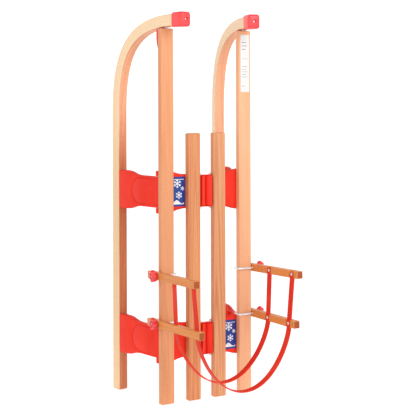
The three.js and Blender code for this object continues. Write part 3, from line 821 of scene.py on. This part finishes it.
def make_leg(end):
    z = BRACKET_Z[end]
    place = LEG_PLANE @ Matrix.Translation((0.3 * MM, z, 0))
    upper = spline([(u * MM, h * MM) for u, h in LEG_EDGE], 5) + [(LEG_END_U, BARREL_HALF)]
    plate = rounded_layers(LEG_OUTER - LEG_THICK, LEG_OUTER, 2.2 * MM)
    leg = prism(f"{end}_leg_moulded_left", both_edges(upper), plate, place)
    raise_tongue(leg, place)
    cut_leg_pockets(leg, place)
    foot = prism("foot", rounded_rect(5.9 * MM, 98 * MM, 2.5 * MM, 0, 3),
                 rounded_layers(-LEG_OUTER + 0.5 * MM, LEG_OUTER - 2.1 * MM, 1.2 * MM, 2),
                 place @ Matrix.Translation((3.07 * MM, 0, 0)))
    join(leg, foot)
    barrel = prism("barrel", circle(BARREL_RADIUS, 40), rounded_layers(-BARREL_HALF, BARREL_HALF, 1 * MM, 2),
                   Matrix.Translation((OUTER_PIN.x, OUTER_PIN.y, z)))
    join(leg, barrel)
    under = UNDER_SEAT_Y + 0.3 * MM
    pad_high = (-117 * MM, UNDER_SEAT_Y + 6 * MM, z + BARREL_HALF)
    join(leg, box_piece("pad", (-137.3 * MM, under, z - BARREL_HALF), pad_high))
    cut(leg, box_piece("above", (-0.2, SEAT_Y - 0.06, z - BIG), (0, under, z + BIG)))
    cut(leg, bore_at(OUTER_PIN.x, OUTER_PIN.y, z))
    place_pair(soften(leg, 0.6 * MM), f"{end}_leg_left", "red")


def cut_wing_pockets(wing, z):
    for column in range(3):
        for row in (-1, 0, 1):
            x, centre = -(36 + column * 27) * MM, z + row * 28.5 * MM
            pocket = box_piece("pocket", (x - 11.5 * MM, WING_TOP + 4 * MM, centre - 12 * MM),
                               (x + 11.5 * MM, WING_TOP + WING_THICK + 1 * MM, centre + 12 * MM))
            cut(wing, pocket)


def fit_wing_to_leg(wing, z):
    """Two lugs above and below the leg's barrel, with room for the barrel and the rail."""
    lugs = prism("lugs", circle(LUG_RADIUS, 40), rounded_layers(-LUG_TO, LUG_TO, 1.8 * MM, 3),
                 Matrix.Translation((OUTER_PIN.x, OUTER_PIN.y, z)))
    join(wing, lugs)
    fork = box_piece("fork", (-0.16, SEAT_Y, z - LUG_FROM), (-0.112, SEAT_Y + 0.08, z + LUG_FROM))
    cut(wing, fork)
    over = box_piece("over", (-0.16, SEAT_Y, z - BIG), (-0.1125, OUTER_PIN.y - 8.4 * MM, z + BIG))
    cut(wing, over)


def fit_wing_to_centre(wing, z):
    """The knuckle on the centre pin and its web, with room beside and under the middle slat."""
    knuckle = prism("knuckle", circle(KNUCKLE_RADIUS, 56),
                    rounded_layers(-KNUCKLE_HALF, KNUCKLE_HALF, 1.5 * MM, 3),
                    Matrix.Translation((CENTRE_PIN.x, CENTRE_PIN.y, z)))
    join(wing, knuckle)
    web = box_piece("web", (-26 * MM, WING_TOP, z - KNUCKLE_HALF),
                    (CENTRE_PIN.x, WING_TOP + 6 * MM, z + KNUCKLE_HALF))
    join(wing, web)
    room = box_piece("room", (-0.09, SEAT_Y - 0.02, z - BIG), (SLAT_INNER_X + 0.3 * MM, WING_TOP, z + BIG))
    cut(wing, room)
    beside = box_piece("beside", (-30 * MM, SEAT_Y - 0.02, z - BIG), (-15.2 * MM, SEAT_Y + 8.5 * MM, z + BIG))
    cut(wing, beside)


def make_wing(end):
    z = BRACKET_Z[end]
    upper = spline([(-x * MM, h * MM) for x, h in WING_EDGE], 5)
    outline = list(reversed(both_edges(upper)))
    place = Matrix(((1, 0, 0, 0), (0, 0, 1, 0), (0, 1, 0, z), (0, 0, 0, 1)))
    layers = [(WING_TOP, 4.2 * MM), (WING_TOP + 0.7 * MM, 2.3 * MM), (WING_TOP + 2.6 * MM, 0.6 * MM)]
    layers += [(WING_TOP + 4.6 * MM, 0), (WING_TOP + WING_THICK - 1 * MM, 0)]
    layers.append((WING_TOP + WING_THICK, 1 * MM))
    wing = fixed_normals(prism(f"{end}_wing_moulded_left", outline, layers, place))
    cut_wing_pockets(wing, z)
    fit_wing_to_leg(wing, z)
    fit_wing_to_centre(wing, z)
    for axis in (OUTER_PIN, CENTRE_PIN):
        cut(wing, bore_at(axis.x, axis.y, z))
    place_pair(soften(wing, 0.6 * MM), f"{end}_wing_left", "red")


def pin(name, node):
    mid, size = span(node)
    half, chamfer = size.z / 2, 0.8 * MM
    layers = [(-half, chamfer), (-half + chamfer, 0), (half - chamfer, 0), (half, chamfer)]
    made = prism(name, circle(size.x / 2, 28), layers, Matrix.Translation(mid))
    place_piece(smooth(made, 30), node, "steel")


def centre_link(name, node):
    mid, size = span(node)
    radius, half = size.y / 2, size.z / 2
    reach = size.x / 2 - radius
    turns = [math.pi * i / 14 - math.pi / 2 for i in range(15)]
    outline = [polar(reach, 0, radius, t) for t in turns]
    outline += [polar(-reach, 0, radius, t + math.pi) for t in turns]
    made = prism(name, outline, rounded_layers(-half, half, 0.7 * MM, 2), Matrix.Translation(mid))
    for side in (-1, 1):
        cut(made, bore_at(side * CENTRE_PIN.x, CENTRE_PIN.y, mid.z, 0.01))
    place_piece(smooth(made, 35), node, "red")


def make_brackets():
    for end in ENDS:
        make_leg(end)
        make_wing(end)
        for side in SIDES:
            pin(f"{end}_hinge_rod_{side}", f"{end}_hinge_pin_{side}")
            pin(f"{end}_centre_rod_{side}", f"{end}_centre_pin_{side}")
        for row in ROWS:
            centre_link(f"{end}_link_{row}", f"{end}_centre_link_{row}")


# ---- Stickers and label ----
def flat_shape(outline, place, low, high):
    """Vertices and faces of a thin printed shape."""
    count = len(outline)
    verts = [place @ Vector((x, y, h)) for h in (low, high) for x, y in outline]
    faces = [tuple(range(count))[::-1], tuple(range(count, 2 * count))]
    faces += [(j, (j + 1) % count, count + (j + 1) % count, count + j) for j in range(count)]
    return verts, faces


def bar_outline(x0, y0, x1, y1, width):
    """A thin bar between two points."""
    along = Vector((x1 - x0, y1 - y0)).normalized() * width / 2
    side = Vector((-along.y, along.x))
    start = [(x0 + side.x, y0 + side.y), (x0 - side.x, y0 - side.y)]
    return start + [(x1 - side.x, y1 - side.y), (x1 + side.x, y1 + side.y)]


def snow_star(cx, cy, size, width):
    """The bars of a plain six-armed snow star."""
    bars = []
    for k in range(6):
        turn = math.radians(60 * k + 90)
        tip = Vector((math.cos(turn), math.sin(turn)))
        bars.append(bar_outline(cx, cy, cx + tip.x * size, cy + tip.y * size, width))
        for lean in (-0.9, 0.9):
            root = tip * size * 0.58
            twig = root + Vector((math.cos(turn + lean), math.sin(turn + lean))) * size * 0.34
            bars.append(bar_outline(cx + root.x, cy + root.y, cx + twig.x, cy + twig.y, width * 0.8))
    return bars


def decal(name, base_outline, thick, shapes, place):
    """A thin base with printed shapes just above it, which use the second material."""
    verts, faces = flat_shape(base_outline, place, 0, thick)
    second = []
    for n, outline in enumerate(shapes):
        low = thick - 0.05 * MM
        more, more_faces = flat_shape(outline, place, low, thick + (0.02 + 0.002 * n) * MM)
        start = len(verts)
        second.extend(range(len(faces), len(faces) + len(more_faces)))
        verts += more
        faces += [tuple(start + i for i in f) for f in more_faces]
    made = fixed_normals(new_piece(name, verts, faces))
    made.data.polygons.foreach_set("use_smooth", [False] * len(made.data.polygons))
    for f in second:
        made.data.polygons[f].material_index = 1
    return made


def facing_seat(x, y, z):
    """A matrix whose x runs right, y up along Z, and z out of the seat."""
    return Matrix(((1, 0, 0, x), (0, 0, -1, y), (0, 1, 0, z), (0, 0, 0, 1)))


def sticker_shapes(wide, tall):
    """Three snow stars over a hill, with a bar at the top."""
    shapes = snow_star(-2 * MM, 0.27 * tall, 12 * MM, 2.4 * MM)
    shapes += snow_star(3 * MM, -0.12 * tall, 10 * MM, 2.0 * MM)
    shapes += snow_star(14 * MM, 0.1 * tall, 5.5 * MM, 1.3 * MM)
    edge = wide * 0.42
    hill = [(-edge, -tall * 0.43), (edge, -tall * 0.43), (edge, -tall * 0.36)]
    for i in range(17):
        hill.append((edge * (1 - i / 8), -tall * (0.345 + 0.06 * math.sin(i * 0.45 + 0.4))))
    return shapes + [hill, rectangle(-edge, tall * 0.4, edge, tall * 0.42)]


def place_decal(name, node, corner, shapes_for, *materials):
    """A rounded film with its print, just on the surface that its CAD node lies on."""
    mid, size = span(node)
    outline = rounded_rect(size.x, size.z, corner, 0, 4)
    place = facing_seat(mid.x, mid.y + size.y / 2, mid.z)
    place_piece(decal(name, outline, size.y, shapes_for(size.x, size.z), place), node, *materials)


def make_stickers():
    for end in ENDS:
        place_decal(f"bracket_sticker_{end}", f"sticker_{end}", 2.5 * MM, sticker_shapes, "blue", "ink")


LABEL_BARS = (  # (height on the label, length), as shares of its size
    (0.36, 0.5), (0.30, 0.62), (0.24, 0.44), (-0.06, 0.66), (-0.105, 0.6),
    (-0.15, 0.68), (-0.195, 0.52), (-0.24, 0.64), (-0.40, 0.3),
)


def label_shapes(wide, tall):
    """Plain bars where a label has its lines of print."""
    left = -wide * 0.36
    shapes = []
    for row, share in LABEL_BARS:
        height = 1.1 * MM if row < 0 else 1.8 * MM
        shapes.append(rectangle(left, row * tall, left + wide * share, row * tall + height))
    shapes.append(bar_outline(left, tall * 0.08, wide * 0.34, tall * 0.08, 0.8 * MM))
    return shapes


def make_label():
    place_decal("rail_label_film", "rail_label", 2 * MM, label_shapes, "label", "grey")


# ---- Backrest ----
def bolt_z(row):
    return middle(f"{row}_hook_bolt_left").z


def lean_depth(row):
    """How far under the seat's surface an arm's sideways lean starts."""
    return UNDER_SEAT_Y - SEAT_Y if ARM_ROW[row]["splay"] > 0 else 0.0


def arm_place(row):
    """How a left arm stands: a little up, and outward or inward."""
    turn = ARM_ROW[row]
    rise = Matrix.Translation((0, SEAT_Y, bolt_z(row))) @ Matrix.Rotation(-turn["rise"], 4, "X")
    rise = rise @ Matrix.Translation((0, -SEAT_Y, -bolt_z(row)))
    hinge = Vector((-ARM_INNER_X, SEAT_Y + lean_depth(row), 0))
    splay = Matrix.Translation(hinge) @ Matrix.Rotation(-turn["splay"], 4, "Z") @ Matrix.Translation(-hinge)
    return splay @ rise


def arm_face_x(row, out):
    return ARM_INNER_X + (out + lean_depth(row)) * math.tan(ARM_ROW[row]["splay"])


def arm_z(row, out):
    return bolt_z(row) + out * math.tan(ARM_ROW[row]["rise"])


def make_arm(row):
    place = arm_place(row)
    x = -ARM_INNER_X - ARM_WIDE / 2
    start = place @ Vector((x, SEAT_Y + ARM_BELOW, bolt_z(row)))
    end = place @ Vector((x, SEAT_Y - ARM_ROW[row]["reach"], bolt_z(row)))
    side = place.to_3x3() @ X_AXIS
    up = place.to_3x3() @ Z_AXIS
    stations = straight_stations(start, end, side, up, 1.4 * MM)
    shift = {"upper": (7.1, 0.004, 0.0), "lower": (8.9, -0.006, 0.003)}[row]
    arm = sweep(f"{row}_backrest_arm_left", stations,
                lambda inset: rounded_rect(ARM_WIDE, ARM_TALL, 1.9 * MM, inset), shift)
    paint(fixed_normals(arm), "arm", "end")
    for which in HOOPS:
        out = hoop_out(which)
        face, y, z = -arm_face_x(row, out), SEAT_Y - out, arm_z(row, out)
        rebate = box_piece("rebate", (face - REBATE_DEEP, y - REBATE_WIDE / 2, z - ARM_TALL),
                           (face + 10 * MM, y + REBATE_WIDE / 2, z + ARM_TALL))
        cut(arm, rebate)
    place_pair(smooth(arm), f"{row}_arm_left", "arm", "end")


def make_bolt(row):
    """A rod across the rail's front that hooks behind its inner edge."""
    y, z = SEAT_Y - BOLT_ABOVE, bolt_z(row)
    points = [(Vector((x * MM, y, z)), X_AXIS) for x in (-167.5, -166.3, -150, -130, -112)]
    centre = Vector((HOOK_X - HOOK_BEND, y + HOOK_BEND, z))
    for i in range(9):
        turn = math.pi / 2 * i / 8
        spoke = Vector((math.sin(turn), -math.cos(turn), 0)) * HOOK_BEND
        points.append((centre + spoke, Vector((math.cos(turn), math.sin(turn), 0))))
    for end_y in (SEAT_Y + HOOK_DOWN - 1.2 * MM, SEAT_Y + HOOK_DOWN):
        points.append((Vector((HOOK_X, end_y, z)), Y_AXIS))
    stations = []
    for i, (place, along) in enumerate(points):
        inset = 1.0 * MM if i in (0, len(points) - 1) else 0.0
        stations.append((place, Z_AXIS, along.cross(Z_AXIS), 0.0, inset))
    bolt = sweep(f"{row}_bolt_bent_left", stations, lambda inset: circle(BOLT_RADIUS - inset, 24))
    place_pair(smooth(fixed_normals(bolt), 50), f"{row}_hook_bolt_left", "steel")


def make_knob(row):
    mid, size = span(f"{row}_knob_left")
    thick = size.x
    outline = []
    for i in range(KNOB_LOBES * 14):
        turn = 2 * math.pi * i / (KNOB_LOBES * 14)
        radius = KNOB_RADIUS - KNOB_WAVE + KNOB_WAVE * math.cos(KNOB_LOBES * turn)
        outline.append(polar(0, 0, radius, turn))
    place = axis_frame((mid.x + thick / 2, mid.y, mid.z), (-1, 0, 0), Z_AXIS)
    layers = [(0, 3.5 * MM), (0.4 * MM, 2.6 * MM), (2.2 * MM, 1.2 * MM), (4 * MM, 0.2 * MM), (5.5 * MM, 0)]
    layers += [(thick - 3.6 * MM, 0), (thick - 1.6 * MM, 0.7 * MM)]
    layers += [(thick - 0.4 * MM, 2.2 * MM), (thick, 4.2 * MM)]
    knob = prism(f"{row}_star_knob_left", outline, layers, place, scaled_outline)
    dish_layers = [(thick - 2.2 * MM, 1.2 * MM), (thick + 1 * MM, -0.6 * MM)]
    dish = prism("dish", circle(8.2 * MM, 36), dish_layers, place)
    cut(knob, dish)
    boss_layers = [(thick - 4 * MM, 0), (thick - 1 * MM, 0), (thick - 0.5 * MM, 0.5 * MM)]
    boss = prism("boss", circle(4.6 * MM, 28), boss_layers, place)
    join(knob, boss)
    bore = prism("bore", circle(3.3 * MM, 24), [(-1 * MM, 0), (thick - 3.0 * MM, 0)], place)
    cut(knob, bore)
    place_pair(smooth(fixed_normals(knob), 45), f"{row}_knob_left", "knob")


def hoop_out(which):
    return SEAT_Y - middle(f"{which}_hoop").y


def strip_x(row, out):
    return arm_face_x(row, out) + REBATE_DEEP - HOOP_CLEAR - HOOP_THICK / 2


def hoop_line(which):
    """The middle line (x, z) of one hoop, from the top of its left leg round to the right."""
    low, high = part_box(f"{which}_hoop")
    out = hoop_out(which)
    upper_x, lower_x = strip_x("upper", out), strip_x("lower", out)
    upper_z, lower_z = bolt_z("upper"), bolt_z("lower")
    top_x = upper_x + (high.z - upper_z) * (upper_x - lower_x) / (upper_z - lower_z)
    bottom = low.z + HOOP_THICK / 2
    bend_z = lower_z - 6.2 * MM
    p = np.array([(lower_x, bend_z), (lower_x - 7 * MM, bend_z - 52 * MM), (80 * MM, bottom), (0, bottom)])
    half = [(top_x, high.z), ((top_x + lower_x) / 2, (high.z + lower_z) / 2), (lower_x, lower_z)]
    for t in np.linspace(0, 1, 26):
        half.append(tuple(np.dot(cubic_weights(t), p)))
    left = [(-x, z) for x, z in half]
    return left + [(x, z) for x, z in reversed(half[:-1])]


def make_hoop(which):
    line = hoop_line(which)
    y = middle(f"{which}_hoop").y
    side, tip = Y_AXIS, 0.9 * MM
    stations = []
    for i, (x, z) in enumerate(line):
        x0, z0 = line[max(i - 1, 0)]
        x1, z1 = line[min(i + 1, len(line) - 1)]
        up = Vector((x1 - x0, 0, z1 - z0)).normalized().cross(side)
        if i in (0, len(line) - 1):
            rounded = [(Vector((x, y, z)), side, up, 0.0, tip), (Vector((x, y, z - tip)), side, up, 0.0, 0.0)]
            stations += rounded if i == 0 else reversed(rounded)
        else:
            stations.append((Vector((x, y, z)), side, up, 0.0, 0.0))
    hoop = sweep(f"{which}_hoop_strip", stations,
                 lambda inset: rounded_rect(HOOP_WIDE - 2 * inset, HOOP_THICK - inset, 1.2 * MM, 0, 3))
    fixed_normals(hoop)
    hoop.data.polygons.foreach_set("material_index", [0] * len(hoop.data.polygons))
    place_piece(hoop, f"{which}_hoop", "hoop")
    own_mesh(hoop)


def make_hoop_screws(row, which):
    out = hoop_out(which)
    node = f"{row}_{which}_hoop_screw_left"
    face = Vector((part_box(node)[1].x - 2 * MM, SEAT_Y - out, arm_z(row, out)))
    screw = cross_screw(f"{row}_{which}_strip_screw_left", face, (1, 0, 0), 4 * MM, 2 * MM, 1.8 * MM, 10 * MM)
    place_pair(screw, node, "steel")


def make_backrest():
    for row in ROWS:
        make_arm(row)
        make_bolt(row)
        make_knob(row)
        for which in HOOPS:
            make_hoop_screws(row, which)
    for which in HOOPS:
        make_hoop(which)


# ---- Camera, light, floor ----
VIEW_TURN = math.radians(-29.66)  # the photograph is taken from the toboggan's left
FLOOR_GLOW = 0.76  # behind the toboggan and far off
DIM_GLOW = 0.16  # near the toboggan, so that it is lit from above
DIM_REACH = 1.5  # how far out the dimmer floor reaches
FLOOR_GAP = 0.0002
BOWL_RADIUS = 5.8
BOWL_BEND = 1.2
BOWL_HEIGHT = 4.5
BOWL_SIDES = 72


def make_camera():
    camera = bpy.data.cameras.new("camera")
    camera.sensor_width = 36
    camera.lens = 96.73
    camera.shift_y = -0.26
    holder = bpy.data.objects.new("camera", camera)
    holder.location = (-1.497, SEAT_Y - 2.635, 0.8097)
    holder.rotation_euler = (math.radians(90), math.radians(0.18), VIEW_TURN)
    bpy.context.scene.collection.objects.link(holder)
    bpy.context.scene.camera = holder


def area_light(name, place, target, size, power):
    light = bpy.data.lights.new(name, "AREA")
    light.shape = "RECTANGLE"
    light.size = light.size_y = size
    light.energy = power
    holder = bpy.data.objects.new(name, light)
    holder.location = place
    holder.rotation_euler = (Vector(target) - Vector(place)).to_track_quat("-Z", "Y").to_euler()
    bpy.context.scene.collection.objects.link(holder)


def studio_paper():
    """White paper that glows behind the toboggan and far off, and is dimmer close to it."""
    g = Graph("studio_paper")
    place = g.node("ShaderNodeTexCoord").outputs["Object"]
    tone = g.noise(g.scaled(place, (1.5, 1.5, 1.5)), 2.0)
    g.set(Base_Color=g.mix(tone, (0.48, 0.48, 0.48, 1), (0.5, 0.5, 0.5, 1)), Roughness=0.9)
    aside, depth, _ = g.node("ShaderNodeSeparateXYZ", {"Vector": place}).outputs
    margin = g.minus(g.math("ABSOLUTE", aside), g.math("MULTIPLY_ADD", depth, 0.19, 0.6))
    behind = g.times(g.step(depth, -0.3, -0.19), g.step(margin, 0.02, 0.3, 1.0, 0.0))
    far = g.step(length_of(g, aside, depth), DIM_REACH - 0.5, DIM_REACH + 0.5)
    lit = g.math("MAXIMUM", behind, far)
    glow = g.math("MULTIPLY_ADD", lit, FLOOR_GLOW - DIM_GLOW, DIM_GLOW)
    g.set(Emission_Color=(1, 1, 1, 1), Emission_Strength=glow)
    return g.material


def make_stage():
    """A pale bowl all round, so that no camera ends up outside it."""
    profile = [(BOWL_RADIUS - BOWL_BEND, 0.0)]
    for i in range(1, 17):
        turn = math.pi / 2 * i / 16
        profile.append((BOWL_RADIUS - BOWL_BEND * (1 - math.sin(turn)), BOWL_BEND * (1 - math.cos(turn))))
    profile.append((BOWL_RADIUS, BOWL_HEIGHT))
    verts = [Vector((0, 0, -FLOOR_GAP))]
    for x, y in circle(1, BOWL_SIDES):
        verts += [Vector((r * x, r * y, z - FLOOR_GAP)) for r, z in profile]
    faces = []
    for i in range(BOWL_SIDES):
        here = 1 + i * len(profile)
        there = 1 + (i + 1) % BOWL_SIDES * len(profile)
        faces.append((0, here, there))
        faces += [(here + k, here + k + 1, there + k + 1, there + k) for k in range(len(profile) - 1)]
    stage = new_piece("studio_floor", verts, faces)
    stage.rotation_euler.z = VIEW_TURN
    stage.data.materials.append(studio_paper())


def make_light():
    world = bpy.data.worlds.new("studio")
    world.use_nodes = True
    sky = world.node_tree.nodes["Background"].inputs
    sky["Color"].default_value = (1, 1, 1, 1)
    sky["Strength"].default_value = 0.2
    bpy.context.scene.world = world
    bpy.context.scene.view_settings.view_transform = "Standard"
    area_light("key", (-2.9, -1.5, 2.1), (0, 0, 1.15), 1.4, 20)
    area_light("top", (0.3, -1.9, 2.0), (0, 0, 1.15), 1.6, 28)


make_camera()
make_light()
make_stage()
make_seat()
make_runner()
make_horn()
make_brackets()
make_stickers()
make_label()
make_backrest()
